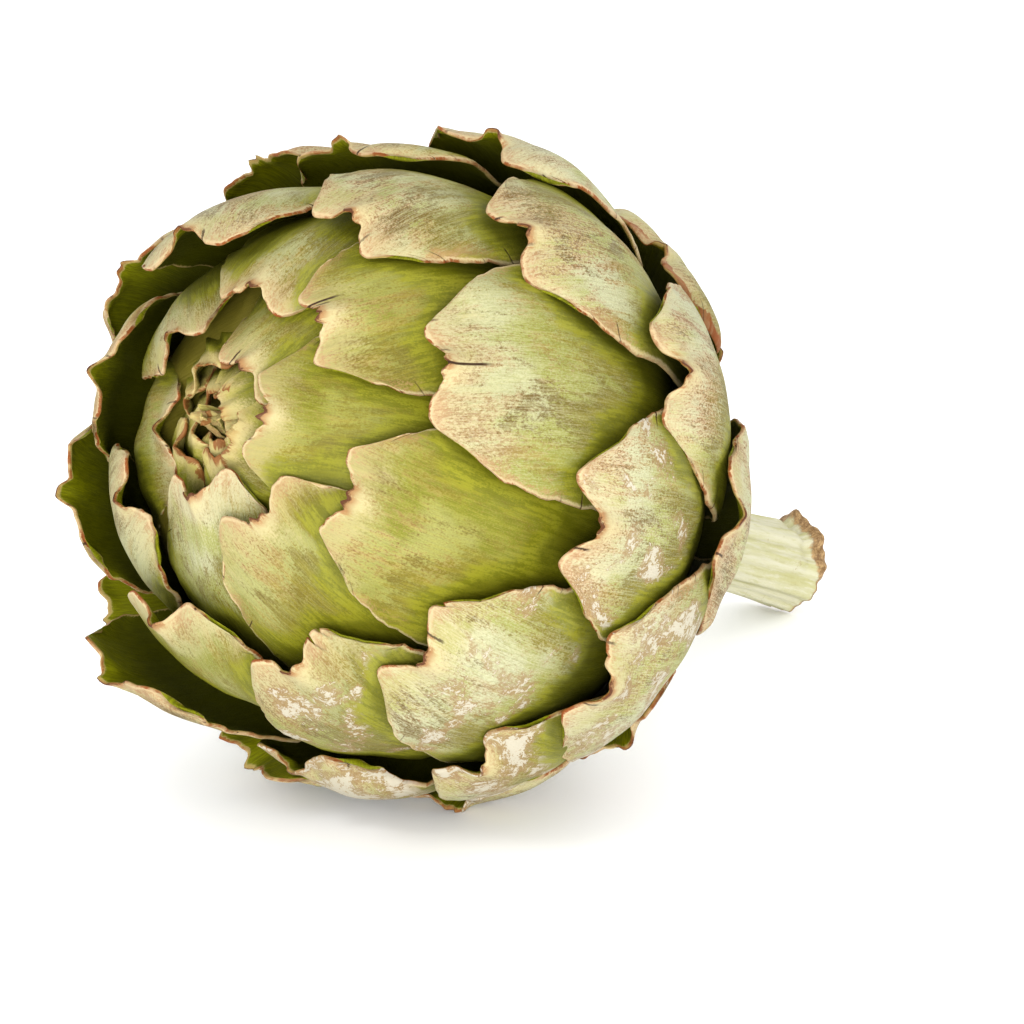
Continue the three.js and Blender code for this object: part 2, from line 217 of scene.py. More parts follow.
def tip_edge(bract, across):
    """How much further down than its tip a bract's plain outline lies, in mm."""
    off = np.abs(across)
    uneven = 0.9 * chance(bract, 2) * across
    depth = NOTCH_DEPTH * (1 + 0.25 * chance(bract, 3))
    notch = np.where(off < LOBE_AT, 0.5 * depth * (1 + np.cos(np.pi * off / LOBE_AT)), 0.0)
    shoulder = SHOULDER_DROP * (np.maximum(0, off - LOBE_AT) / (1 - LOBE_AT)) ** 1.6
    return (notch + shoulder + uneven) * min(1.0, growth(bract))


def relief(bract, across, below):
    """How far the plain bract stands out of its shell, in mm."""
    near_tip = np.exp(-below / 6.0)
    off = np.abs(across)
    notch = NOTCH_LIFT * np.exp(-((across / 0.28) ** 2))
    lobes = LOBE_CURL * smooth(off, 0.2, 0.6)
    wave = WAVE * smooth(off, 0.4, 1) * np.sin(below / 3 + 5 * chance(bract, 4) + across)
    dome = DOME * (1 - across * across) * np.sin(np.pi * np.clip(below / DOME_LENGTH, 0, 1))
    return growth(bract) * (near_tip * (notch - lobes) + wave * np.exp(-below / 20.0) + dome)


# ---- What the plain solids leave out ----
RIM_ROUNDED = 0.5  # how far from the edge the rounding of the rim goes, in mm

# Splits in the edge of some bracts: where across, how deep and how wide in mm.
SPLITS = {
    7: ((0.4, 1.4, 0.3),), 13: ((-0.9, 1.2, 0.35),), 16: ((0.5, 2.6, 0.5), (0.66, 1.8, 0.4)),
    21: ((0.72, 2.2, 0.6),), 22: ((-0.5, 1.5, 0.4),), 33: ((0.7, 1.8, 0.5),),
    34: ((0.42, 1.6, 0.4),), 41: ((-0.35, 1.6, 0.4),),
}

# How far the tips of some bracts curl in towards the head (mm), over how many degrees, and how far
# they belly out below the curl (mm).
CURLS = {
    17: (1.0, 4, 0.5), 20: (1.0, 4, 1.6), 22: (1.0, 4, 0.5), 24: (2.8, 7, 0), 25: (1.6, 3.5, 2.1),
    28: (0.6, 4, 1.0), 29: (0.8, 7, 0), 36: (1.5, 4, 3.3), 37: (1.2, 7, 0), 44: (2.0, 7, 0),
}


def ripple(bract, draw, x, waves, size):
    """A sum of waves along x, of these lengths and heights in mm, with the bract's own phases."""
    total = 0.0
    for i, length in enumerate(waves):
        phase = math.pi * chance(bract, draw + 3 * i)
        stretch = 1 + 0.25 * chance(bract, draw + 3 * i + 1)
        total = total + size[i] * np.sin(2 * math.pi * x / (length * stretch) + phase)
    return total


def fine_edge(bract, across, wide):
    """How much further down than tip_edge the fine outline lies, in mm."""
    size = min(1.0, growth(bract))
    x = across * wide
    # A tooth in the notch with a bump on either side of it, and scallops that fade along the edge.
    tooth_at = 0.6 * chance(bract, 20)
    tooth = -(0.8 + 0.4 * chance(bract, 21)) * np.exp(-(((x - tooth_at) / 0.75) ** 2))
    beside = (1.6 + 0.5 * chance(bract, 22)) * (1 + 0.3 * chance(bract, 23))
    bumps = 0.42 * np.exp(-(((np.abs(x) - beside - 1.0) / 0.7) ** 2))
    uneven = ripple(bract, 30, x, (6.3, 3.7, 2.1), (0.20, 0.09, 0.04))
    spacing = 2.0 + 0.3 * chance(bract, 24)
    scallops = 0.5 * np.cos(2 * math.pi * x / spacing) * np.exp(-((x / 3.2) ** 2))
    total = (tooth + bumps + scallops + uneven * smooth(np.abs(x), 0.6, 2.0)) * size
    for at, deep, width in SPLITS.get(bract, ()):
        total = total + deep * np.maximum(0.0, 1 - np.abs(x - at * wide) / (0.5 * width))
    return total


def fine_relief(bract, x, y, edge, side_edge):
    """How far the fine bract stands out of the plain one, at x across and y below the tip."""
    size = min(1.0, growth(bract))
    broad = ripple(bract, 50, x + 0.35 * y, (23.0, 11.0), (0.30, 0.16))
    broad = broad * (0.6 + 0.4 * np.sin(y / 7.0 + 3 * chance(bract, 56)))
    # The rim folds outwards and inwards in short waves.
    frill = ripple(bract, 60, x + 0.6 * y, (7.1, 4.3, 2.6), (0.24, 0.12, 0.05))
    frill = frill * np.exp(-edge / 2.2)
    # A spout with a crease on either side of it leads to the notch.
    lean = 0.5 * chance(bract, 70)
    spout = 1.1 * np.exp(-(((x - lean) / 1.7) ** 2)) * np.exp(-y / 4.0)
    crease = -0.55 * np.exp(-(((np.abs(x - lean) - 3.3) / 1.3) ** 2)) * np.exp(-y / 5.0)
    # The sides roll in, and some tips curl.
    rolled = -0.45 * np.exp(-side_edge / 1.6) * smooth(y, 3, 12)
    inwards, over, belly = CURLS.get(bract, (0.0, 1.0, 0.0))
    rolled = rolled - inwards * np.exp(-((y / over) ** 2))
    rolled = rolled + belly * np.exp(-((y / over - 3.0) ** 2) / 4.0)
    crumple = 0.0
    if bract <= 0:
        crumple = ripple(bract, 95, x - 0.4 * y, (6.1, 3.3), (0.5, 0.3)) * smooth(edge, 0, 1.5)
    return size * (broad * smooth(edge, 0, 3) + frill + spout + crease + rolled + crumple)


def direction_at(down, around, side):
    """A direction, some degrees across from a bract's middle line."""
    middle = np.stack([sin(down) * cos(around), sin(down) * sin(around), cos(down)], axis=-1)
    sideways = np.array([-sin(around), cos(around), 0.0])
    return middle * cos(side)[..., None] + sideways * sin(side)[..., None]


def lie_down(points):
    """From the head's own frame to the part's."""
    turned = math.radians(LEAN - 90)
    c, s = math.cos(turned), math.sin(turned)
    x, y, z = points[..., 0], points[..., 1], points[..., 2]
    return np.stack([c * x + s * z, y, -s * x + c * z], axis=-1) + CENTRE


# How much further from its neighbours' shelter some bracts look than they lie, in mm.
BARED = {1: 6, 2: 3, 3: 4, 4: 3, 6: 4, 7: 2}
# How many bracts further out can cover one, and what counts as far from them all, in mm.
NEIGHBOURS, FAR_OFF = 24, -30.0


def covered(bract, fall, around):
    """How far under the bracts further out a direction lies, in mm; below 0, how far from them."""
    deepest = np.full(fall.shape, FAR_OFF)
    for other in range(bract + 1, min(BRACTS, bract + NEIGHBOURS) + 1):
        turned = around - tip_round(other)
        side = np.degrees(np.arcsin(np.clip(sin(fall) * sin(turned), -1, 1)))
        down = np.degrees(np.arctan2(sin(fall) * cos(turned), cos(fall)))
        below = down - tip_down(other)
        swung = sin(slip(other)[2]) * TWIST_FADES * (1 - np.exp(-np.maximum(below, 0) / TWIST_FADES))
        side = side + swung
        width = half_width(other, np.maximum(below, 0), down)
        line = arc(tip_edge(other, np.clip(side / width, -1, 1)))
        past_tip = below - line * np.exp(-np.maximum(below, 0) / EDGE_FADES)
        inside = np.minimum(past_tip, width - np.abs(side))
        deepest = np.maximum(deepest, inside * math.radians(HEAD_RADIUS))
    return deepest


def bract_surface(bract, across, below, root):
    """Outer and inner points of a bract, in the part's frame, and what its material reads there.

    Below runs in degrees from 0 at the tip to root.
    """
    wide = HEAD_RADIUS * np.radians(half_width(bract, below, tip_down(bract) + below))
    tip_wide = HEAD_RADIUS * math.radians(half_width(bract, 0.0, tip_down(bract)))
    edge_line = tip_edge(bract, across) * np.exp(-below / EDGE_FADES)
    edge_line = edge_line + fine_edge(bract, across, tip_wide) * np.exp(-below / 3.2)
    down = tip_down(bract) + below + arc(edge_line)
    x = across * wide
    side_edge = (1 - np.abs(across)) * wide
    edge = np.minimum(np.minimum(below, side_edge), root - below)

    # The direction of each point, turned with the bract's twist.
    side = across * half_width(bract, below, down)
    ripples = arc(ripple(bract, 80, below, (9.0, 4.2), (0.22, 0.14)))
    side = side + ripples * smooth(np.abs(across), 0.7, 1)
    twist = sin(slip(bract)[2])
    left = np.exp(-below / TWIST_FADES)
    swung = twist * TWIST_FADES * (1 - left)
    direction = direction_at(down + twist * side * left, tip_round(bract), side - swung)
    fall = np.degrees(np.arccos(np.clip(direction[..., 2], -1, 1)))
    around = np.degrees(np.arctan2(direction[..., 1], direction[..., 0]))

    # The middle of the thickness, and half of it on either side, rounded off at the rim.
    middle = mix(MIDDLE_THICKNESS, EDGE_THICKNESS, np.exp(-below / THICKENS_OVER))
    thickness = mix(middle, EDGE_THICKNESS, across * across)
    radius = shell(bract, fall, around) + relief(bract, across, below) - 0.5 * thickness
    if bract <= 0:
        radius = radius - ROOT_SINKS * smooth(below, 8, LEAF_LENGTH)
    radius = radius + fine_relief(bract, x, below, edge, side_edge)
    rounded = 1 - np.clip(edge / RIM_ROUNDED, 0, 1)
    half = 0.5 * thickness * np.sqrt(np.maximum(0.0, 1 - rounded**2))
    outer, inner = direction * (radius + half)[..., None], direction * (radius - half)[..., None]
    sunk = np.minimum(0.0, CENTRE[2] + outer @ UP)[..., None] * UP  # how far below the floor
    along_rim = np.where(below < side_edge, x, np.sign(x) * (wide + below))
    cover = covered(bract, fall, around) - BARED.get(bract, 0)
    return lie_down(outer - sunk), lie_down(inner - sunk), x, edge, cover, along_rim


# ---- Meshes ----
def blade(across, below, surface_at, look):
    """A closed blade whose two faces share their outline: (vertices, faces, values).

    The values are what its material reads, three to a name:
    place   mm across, degrees below the tip, mm from the nearest edge
    kind    0 outside, 0.5 on the edge or 1 inside; a number of the blade's own; its age, 0 to 1
    cover   mm under its neighbours, mm along the rim, how much bloom it has
    worn    how far it has tanned, mm across from its long split, how far up from the split's end
    """
    own, age, bloom, tanned, split_at, split_length = look
    u, v = np.meshgrid(across, below)
    outer, inner, x, edge, cover, along_rim = surface_at(u, v)
    border = np.ones(u.shape, bool)
    border[1:-1, 1:-1] = False
    free = np.flatnonzero(~border)
    outer[border] = 0.5 * (outer[border] + inner[border])
    points = np.concatenate([outer.reshape(-1, 3), inner.reshape(-1, 3)[free]])

    front = np.arange(u.size).reshape(u.shape)
    back = front.copy()
    back[~border] = u.size + np.arange(len(free))
    faces = []
    for grid, order in ((front, (0, 3, 2, 1)), (back, (0, 1, 2, 3))):
        corners = (grid[:-1, :-1], grid[:-1, 1:], grid[1:, 1:], grid[1:, :-1])
        faces += np.stack([corners[i] for i in order], axis=-1).reshape(-1, 4).tolist()

    read = {
        "place": (x, v, edge),
        "kind": (np.where(border, 0.5, 0.0), own, age),
        "cover": (cover, along_rim, bloom),
        "worn": (tanned, x - split_at, split_length - v),
    }
    values = {}
    for name, three in read.items():
        rows = np.stack([np.broadcast_to(value, u.shape) for value in three], axis=-1).reshape(-1, 3)
        values[name] = np.concatenate([rows, rows[free]])
    values["kind"][u.size:, 0] = 1.0
    return points, faces, values


def join(parts):
    """Several (vertices, faces, values) as one."""
    points, faces, start = [], [], 0
    for part_points, part_faces, _ in parts:
        points.append(part_points)
        faces += [tuple(corner + start for corner in face) for face in part_faces]
        start += len(part_points)
    names = parts[0][2]
    values = {name: np.concatenate([part[2][name] for part in parts]) for name in names}
    return np.concatenate(points), faces, values


def add_object(name, data):
    thing = bpy.data.objects.new(name, data)
    bpy.context.scene.collection.objects.link(thing)
    return thing


def add_mesh(name, points, faces, values, material):
    """A smooth piece of the scene from points in mm, with its values as attributes."""
    mesh = bpy.data.meshes.new(name)
    mesh.from_pydata((points * MM).tolist(), [], faces)
    for value_name, value in values.items():
        layer = mesh.attributes.new(value_name, "FLOAT_VECTOR", "POINT")
        layer.data.foreach_set("vector", value.astype(np.float32).ravel())
    mesh.polygons.foreach_set("use_smooth", np.ones(len(mesh.polygons), bool))
    mesh.materials.append(material)
    mesh.validate()
    mesh.update()
    return add_object(name, mesh)


def steps_across():
    """Positions across a bract, closest together at its edges, where the rim is rounded."""
    rim = [0.0, 0.004, 0.012, 0.024, 0.042, 0.068, 0.1]
    half = np.concatenate([rim, np.linspace(0.1, 1.0, 28)[1:]])
    left = half - 1
    return np.concatenate([left, -left[-2::-1]])


def steps_below(root):
    """Degrees down from the tip to the root, closest together where the rim is rounded."""
    steps = [0, 0.07, 0.2, 0.42, 0.75, 1.15, 1.6, 2.1, 2.65, 3.25, 3.9, 4.6, 5.35, 6.15, 7.0, 7.9]
    steps += [8.9, 10.0, 11.2, 12.5, 13.9, 15.4, 17.0, 18.7, 20.5, 22.4, 24.4, 26.6, 29, 32, 35.5]
    steps += [39.5, 44, 49, 54.5, 60.5, 67, 74, 82, 90, 98, 106, 114, 122, 130, 138]
    steps = [s for s in steps if s < root - 2.5]
    return np.array(steps + [root - 1.6, root - 0.5, root - 0.15, root])


# ---- Materials ----
class Shader:
    """A material under construction: each call adds a node and returns the output wanted."""

    def __init__(self, name):
        self.material = bpy.data.materials.new(name)
        self.material.use_nodes = True
        self.tree = self.material.node_tree
        self.tree.nodes.clear()

    def node(self, kind, settings=None, inputs=None):
        node = self.tree.nodes.new(kind)
        for name, value in (settings or {}).items():
            setattr(node, name, value)
        for name, value in (inputs or {}).items():
            self.feed(node.inputs[name], value)
        return node

    def feed(self, socket, value):
        if isinstance(value, bpy.types.NodeSocket):
            self.tree.links.new(value, socket)
        else:
            socket.default_value = value

    def attribute(self, name):
        return self.node("ShaderNodeAttribute", {"attribute_name": name}).outputs["Vector"]

    def split(self, vector):
        return self.node("ShaderNodeSeparateXYZ", inputs={"Vector": vector}).outputs

    def join(self, x, y, z):
        return self.node("ShaderNodeCombineXYZ", inputs={"X": x, "Y": y, "Z": z}).outputs[0]

    def math(self, operation, a, b=0.0):
        return self.node("ShaderNodeMath", {"operation": operation}, {0: a, 1: b}).outputs[0]

    def times(self, a, b):
        return self.math("MULTIPLY", a, b)

    def minus(self, a, b):
        return self.math("SUBTRACT", a, b)

    def plus(self, a, b):
        return self.math("ADD", a, b)

    def ramp(self, value, low, high, to_low=0.0, to_high=1.0):
        """Smoothly from to_low at low to to_high at high."""
        settings = {"interpolation_type": "SMOOTHSTEP"}
        inputs = {"Value": value, "From Min": low, "From Max": high}
        inputs |= {"To Min": to_low, "To Max": to_high}
        return self.node("ShaderNodeMapRange", settings, inputs).outputs[0]

    def noise(self, vector, scale, detail, roughness, distortion=0.0):
        inputs = {"Vector": vector, "Scale": scale, "Detail": detail}
        inputs |= {"Roughness": roughness, "Distortion": distortion}
        return self.node("ShaderNodeTexNoise", inputs=inputs).outputs["Fac"]

    def random(self, value, draw):
        """A number from 0 to 1 that is the value's own, another one for each draw."""
        inputs = {"Vector": self.join(value, draw, 0.0)}
        return self.node("ShaderNodeTexWhiteNoise", {"noise_dimensions": "2D"}, inputs).outputs[0]

    def mix(self, share, a, b):
        # Sockets for other data have the same names, so these go by number.
        node = self.node("ShaderNodeMix", {"data_type": "RGBA"}, {0: share, 6: a, 7: b})
        return node.outputs[2]

    def surface(self, colour, roughness, height, strength, depth, specular=0.5):
        """Ends the material, with a surface whose bumps are so many mm deep."""
        inputs = {"Height": height, "Strength": strength, "Distance": depth * MM}
        bump = self.node("ShaderNodeBump", inputs=inputs)
        inputs = {"Base Color": colour, "Roughness": roughness, "Normal": bump.outputs[0]}
        inputs |= {"Specular IOR Level": specular}
        shader = self.node("ShaderNodeBsdfPrincipled", inputs=inputs)
        self.node("ShaderNodeOutputMaterial", inputs={"Surface": shader.outputs[0]})
        return self.material


# How much brighter than its own colour a surface looks in this scene, whose light is bright enough
# to show the floor white.
EXPOSURE = 1.86


def tone(red, green, blue):
    """The colour of a surface that looks like this sRGB one, from 0 to 255, in this light."""
    channels = [c / 255 for c in (red, green, blue)]
    linear = [((c + 0.055) / 1.055) ** 2.4 if c > 0.04 else c / 12.92 for c in channels]
    return tuple(c / EXPOSURE for c in linear) + (1.0,)


# The colours of the bracts and of the stem.
SKIN_GREEN, SKIN_PALE = tone(132, 134, 14), tone(172, 171, 88)
OLD_GREEN, OLD_PALE = tone(184, 187, 104), tone(212, 212, 168)
WASH_TAN, WASH_PINK = tone(214, 184, 134), tone(206, 154, 116)
SPECK_BROWN, STREAK_BROWN = tone(136, 90, 46), tone(168, 120, 78)
# The olive is a stain colour and also paints shade beside the neighbours.
STAIN_AND_SHADE_OLIVE, FIBRE_YOUNG, FIBRE_OLD = tone(110, 84, 30), tone(182, 176, 66), tone(224, 221, 172)
DOWN_YOUNG, DOWN_OLD, DOWN_DARK = tone(198, 190, 102), tone(240, 238, 212), tone(130, 112, 40)
# The first two greens serve for skin kept green under neighbours and also for painted shade there; the
# last is painted contact shade at a neighbour's edge.
DEEP_GREEN, FRESH_GREEN, CONTACT_SHADE_GREEN = tone(126, 126, 4), tone(162, 160, 30), tone(94, 94, 0)
RIM_FLUSH, RIM_CREAM, RIM_BROWN = tone(208, 160, 116), tone(240, 216, 166), tone(158, 86, 36)
CRACK_DARK = tone(66, 42, 20)
# The first of these is partly the notch's own pale and partly painted highlight on its spout.
NOTCH_PALE_AND_HIGHLIGHT, NOTCH_ORANGE, NOTCH_SCAR = tone(230, 214, 158), tone(176, 102, 40), tone(92, 44, 18)
BLOOM_NET, BLOOM_WHITE = tone(172, 140, 96), tone(236, 230, 208)
LINING_DARK, LINING_LIGHT = tone(116, 118, 0), tone(156, 158, 4)
# The first of these is painted shade deep in the inner face.
LINING_SHADE, LINING_RIM = tone(58, 60, 0), tone(224, 198, 126)
TIP_CREAM = tone(226, 204, 152)
# The last of these is painted shade deep in the young leaves' inner face.
YOUNG_DARK, YOUNG_LIGHT, YOUNG_LINING_SHADE = tone(150, 144, 44), tone(204, 196, 96), tone(118, 106, 26)
YOUNG_TIP, YOUNG_BROWN = tone(224, 204, 124), tone(150, 84, 34)
STEM_GREEN, STEM_PALE, STEM_FIBRE = tone(214, 210, 150), tone(236, 232, 196), tone(240, 236, 206)
STEM_FURROW, STEM_STAIN = tone(196, 190, 116), tone(158, 122, 76)
DRIED_DARK, DRIED_LIGHT = tone(134, 92, 46), tone(206, 166, 110)
CUT_DARK, CUT_LIGHT = tone(196, 170, 108), tone(224, 206, 152)
FLOOR_WHITE = (0.96, 0.97, 0.99, 1.0)
CRACK_SPACING = 5.5  # mm


def bract_shader(name):
    """A bract's material in the making, with what its steps share."""
    s = Shader(name)
    s.x, s.y, s.edge = s.split(s.attribute("place"))
    s.inside, s.own, s.age = s.split(s.attribute("kind"))
    s.covered_by, s.along_rim, s.bloom = s.split(s.attribute("cover"))
    s.tanned, s.off_split, s.split_left = s.split(s.attribute("worn"))

    s.offset = s.times(s.own, 90.0)
    shifted = s.plus(s.x, s.offset)

    def drawn_out(share):
        return s.join(shifted, s.times(s.y, share), s.offset)

    # Those named off lie round 0.
    s.even, s.stretched = drawn_out(1.0), drawn_out(0.42)
    s.broad = s.noise(s.even, 0.07, 2.0, 0.5)
    s.cloud = s.noise(s.stretched, 0.15, 4.0, 0.62, 0.5)
    s.streak = s.noise(drawn_out(0.13), 1.0, 4.0, 0.65)
    s.fibre = s.noise(drawn_out(0.05), 5.0, 2.0, 0.6)
    s.stipple = s.noise(drawn_out(0.6), 2.9, 2.0, 0.7)
    s.grain = s.noise(drawn_out(0.55), 4.4, 2.0, 0.6)
    s.off_cloud = s.minus(s.cloud, 0.5)
    s.off_streak = s.minus(s.streak, 0.5)
    s.off_speck = s.minus(s.noise(s.even, 1.9, 3.0, 0.72), 0.5)
    s.off_stipple = s.minus(s.stipple, 0.5)

    # Where neighbours lie close, the skin has stayed green and clean; these masks also carry the painted
    # shade that falls beside and under the neighbours.
    s.near = s.plus(s.times(s.off_streak, 5.0), s.ramp(s.age, 0.2, 0.5, 0.0, -1.6))
    s.near = s.plus(s.covered_by, s.near)
    s.sheltered = s.ramp(s.plus(s.near, s.times(s.off_cloud, 5.0)), -5.0, -1.6)
    s.open_skin = s.minus(1.0, s.times(s.sheltered, 0.85))
    s.tan_share = s.ramp(s.tanned, 0.0, 1.0, 0.15, 1.0)
    s.older = s.ramp(s.plus(s.age, s.times(s.minus(s.own, 0.5), 0.12)), 0.06, 0.5)

    # The wash, strongest towards the tip, and the rim's broken brown line.
    wash = s.plus(s.cloud, s.plus(s.times(s.off_stipple, 0.35), s.times(s.off_streak, 0.5)))
    tipwards = s.plus(s.ramp(s.y, 22.0, 2.0, -0.05, 0.06), s.ramp(s.tanned, 0.6, 1.0, 0.0, 0.035))
    s.wash = s.times(s.ramp(s.plus(wash, tipwards), 0.45, 0.62), s.open_skin)
    s.dry = s.minus(s.edge, s.off_speck)
    browned = s.noise(s.join(s.along_rim, s.offset, 0.0), 0.24, 3.0, 0.7)
    s.browned = s.times(s.ramp(browned, 0.40, 0.56, 0.3, 1.0), s.ramp(s.y, 30.0, 6.0, 0.35, 1.0))
    s.dried = s.times(s.ramp(s.tanned, 1.0, 2.0), s.ramp(s.y, 14.0, 6.0))
    width = s.times(s.dried, s.plus(2.0, s.times(s.off_cloud, 9.0)))
    s.line = s.ramp(s.minus(s.edge, s.plus(width, s.times(s.off_speck, 1.1))), 0.36, 0.10)
    return s


def green_skin(s):
    """Yellow-green in broad patches, paler on the older bracts."""
    green, pale = s.mix(s.older, SKIN_GREEN, OLD_GREEN), s.mix(s.older, SKIN_PALE, OLD_PALE)
    paler = s.plus(s.broad, s.times(s.off_streak, 0.35))
    return s.mix(s.ramp(s.plus(paler, s.ramp(s.y, 26.0, 3.0, -0.05, 0.09)), 0.42, 0.60), green, pale)


def tan_wash(s, skin):
    """A tan to pinkish wash that breaks up into specks and streaks."""
    tan = s.mix(s.ramp(s.plus(s.broad, s.off_speck), 0.35, 0.65), WASH_TAN, WASH_PINK)
    skin = s.mix(s.times(s.wash, s.times(s.tan_share, 0.72)), skin, tan)
    dotted = s.ramp(s.plus(s.stipple, s.times(s.off_cloud, 0.7)), 0.50, 0.64)
    dotted = s.times(dotted, s.plus(s.times(s.wash, 0.5), 0.12))
    skin = s.mix(s.times(s.times(dotted, s.open_skin), s.tan_share), skin, STREAK_BROWN)
    streaked = s.plus(s.streak, s.plus(s.times(s.off_cloud, 0.6), s.times(s.off_stipple, 0.25)))
    streaked = s.times(s.ramp(streaked, 0.54, 0.69), s.open_skin)
    return s.mix(s.times(streaked, s.times(s.tan_share, 0.72)), skin, STREAK_BROWN)


def specks_stains_and_shade(s, skin):
    """Fine brown specks in patches, and olive stains, most of them beside a neighbour, where they are
    partly painted shade.
    """
    dusted = s.plus(s.times(s.stipple, 0.7), s.times(s.cloud, 0.45))
    dusted = s.times(s.ramp(dusted, 0.57, 0.72), s.times(s.open_skin, s.tan_share))
    skin = s.mix(s.times(dusted, 0.7), skin, SPECK_BROWN)
    stain = s.noise(s.stretched, 0.12, 5.0, 0.7, 1.0)
    stain = s.plus(stain, s.plus(s.times(s.off_stipple, 0.4), s.times(s.off_streak, 0.3)))
    # The stains are drawn towards the neighbours' edges, where the olive stands partly for painted shade.
    beside = s.times(s.ramp(s.near, -11.0, -4.5), s.ramp(s.near, -0.5, -3.0, 0.0, 0.10))
    stain = s.times(s.ramp(s.plus(stain, beside), 0.50, 0.64), s.ramp(s.y, 2.5, 7.0))
    return s.mix(s.times(stain, 0.85), skin, STAIN_AND_SHADE_OLIVE)


def fibres_and_down(s, skin):
    """Pale fibres run lengthwise, and a fine down speckles the skin."""
    fibres, down = s.mix(s.older, FIBRE_YOUNG, FIBRE_OLD), s.mix(s.older, DOWN_YOUNG, DOWN_OLD)
    skin = s.mix(s.ramp(s.fibre, 0.45, 0.65, 0.0, 0.42), skin, fibres)
    skin = s.mix(s.ramp(s.fibre, 0.50, 0.34, 0.0, 0.22), skin, DOWN_DARK)
    skin = s.mix(s.ramp(s.grain, 0.48, 0.66, 0.0, 0.24), skin, down)
    return s.mix(s.ramp(s.grain, 0.52, 0.34, 0.0, 0.20), skin, DOWN_DARK)


def sheltered_green_and_shade(s, skin):
    """Under and beside the neighbours it is a deeper green: partly the skin's own green, partly painted
    shade, broad beside them and dark right at their edges.
    """
    fresh = s.ramp(s.plus(s.streak, s.times(s.off_stipple, 0.4)), 0.40, 0.60)
    green_and_shade = s.mix(fresh, DEEP_GREEN, FRESH_GREEN)
    # A broad band of painted shade beside the neighbours, laid on in their green.
    nearing_shade = s.ramp(s.plus(s.near, s.times(s.off_cloud, 10.0)), -17.0, -3.0, 0.0, 0.42)
    skin = s.mix(nearing_shade, skin, green_and_shade)
    skin = s.mix(s.times(s.sheltered, 0.8), skin, green_and_shade)
    # Painted contact shade, dark green, where a neighbour's edge lies on the skin.
    return s.mix(s.ramp(s.covered_by, -1.0, 2.5, 0.0, 0.6), skin, CONTACT_SHADE_GREEN)


def tip_and_rim(s, skin):
    """A creamy tip, and on the rim a stippled flush, a cream band and the brown line."""
    creamy = s.plus(s.y, s.plus(s.times(s.off_cloud, 22.0), s.times(s.off_stipple, 14.0)))
    skin = s.mix(s.times(s.ramp(creamy, 9.0, 0.0, 0.0, 0.4), s.open_skin), skin, TIP_CREAM)
    ragged = s.minus(s.edge, s.plus(s.times(s.off_cloud, 9.0), s.times(s.off_stipple, 9.0)))
    skin = s.mix(s.times(s.ramp(ragged, 2.4, 0.4, 0.0, 0.45), s.open_skin), skin, RIM_FLUSH)
    skin = s.mix(s.ramp(s.dry, 0.95, 0.4, 0.0, 0.62), skin, RIM_CREAM)
    return s.mix(s.times(s.line, s.math("MAXIMUM", s.browned, s.dried)), skin, RIM_BROWN)


def notch(s, skin):
    """A pale swelling, stained orange, with a brown scar where the spine was; the pale is partly painted
    highlight on the raised spout.
    """
    x = s.times(s.x, s.ramp(s.y, 0.0, 6.0, 0.9, 1.5))
    away = s.math("SQRT", s.plus(s.times(x, x), s.times(s.times(s.y, s.y), 0.35)))
    away = s.plus(away, s.plus(s.times(s.off_speck, 2.0), s.times(s.off_stipple, 4.0)))
    # Pale round the notch: partly its own colour, partly painted highlight where the spout stands out.
    skin = s.mix(s.ramp(away, 4.6, 1.0, 0.0, 0.75), skin, NOTCH_PALE_AND_HIGHLIGHT)
    stained = s.plus(s.plus(away, s.times(s.off_cloud, 8.0)), s.times(s.off_streak, 8.0))
    stained = s.times(s.ramp(stained, 2.4, 1.0), s.ramp(s.edge, 3.0, 0.6))
    skin = s.mix(s.times(stained, 0.7), skin, NOTCH_ORANGE)
    scar = s.plus(s.times(s.times(s.x, s.x), 0.4), s.times(s.times(s.edge, s.edge), 2.2))
    scar = s.plus(s.math("SQRT", scar), s.plus(s.times(s.off_speck, 2.4), s.times(s.off_cloud, 3.0)))
    return s.mix(s.ramp(scar, 1.3, 0.5, 0.0, 0.9), skin, NOTCH_SCAR)


def cracks(s):
    """Where short cracks run in from the rim, one in each stretch of it, and the long split lies."""
    cell = s.times(s.plus(s.along_rim, s.times(s.own, 517.0)), 1.0 / CRACK_SPACING)
    number = s.math("FLOOR", cell)
    first, second, third = (s.random(number, draw) for draw in (1.0, 2.0, 3.0))
    away = s.minus(s.math("FRACT", cell), s.ramp(first, 0.0, 1.0, 0.25, 0.75))
    away = s.math("ABSOLUTE", s.plus(s.times(away, CRACK_SPACING), s.times(s.off_speck, 0.5)))
    length = s.times(s.minus(second, 0.5), 8.0)
    crack = s.times(s.ramp(away, 0.26, 0.10), s.ramp(s.minus(length, s.edge), 0.0, 1.2))
    crack = s.times(crack, s.ramp(third, 0.2, 0.8, 0.5, 0.95))
    split = s.math("ABSOLUTE", s.plus(s.off_split, s.times(s.off_cloud, 1.6)))
    split = s.times(s.ramp(split, 0.28, 0.12), s.ramp(s.split_left, 0.0, 3.0))
    return s.math("MAXIMUM", crack, split)


def dry_bloom(s, skin):
    """On the lower bracts, brown patches with white flakes in them."""
    patch = s.plus(s.noise(s.even, 0.13, 3.0, 0.55, 0.3), s.times(s.bloom, 0.5))
    patch = s.plus(patch, s.plus(s.times(s.off_stipple, 0.25), s.ramp(s.y, 2.0, 9.0, -0.06, 0.03)))
    bare = s.minus(1.0, s.sheltered)
    skin = s.mix(s.times(s.ramp(patch, 1.0, 1.09, 0.0, 0.75), bare), skin, BLOOM_NET)
    flake = s.plus(patch, s.times(s.minus(s.noise(s.even, 0.8, 4.0, 0.75, 0.8), 0.5), 0.7))
    return s.mix(s.times(s.ramp(flake, 1.10, 1.15, 0.0, 0.75), bare), skin, BLOOM_WHITE)


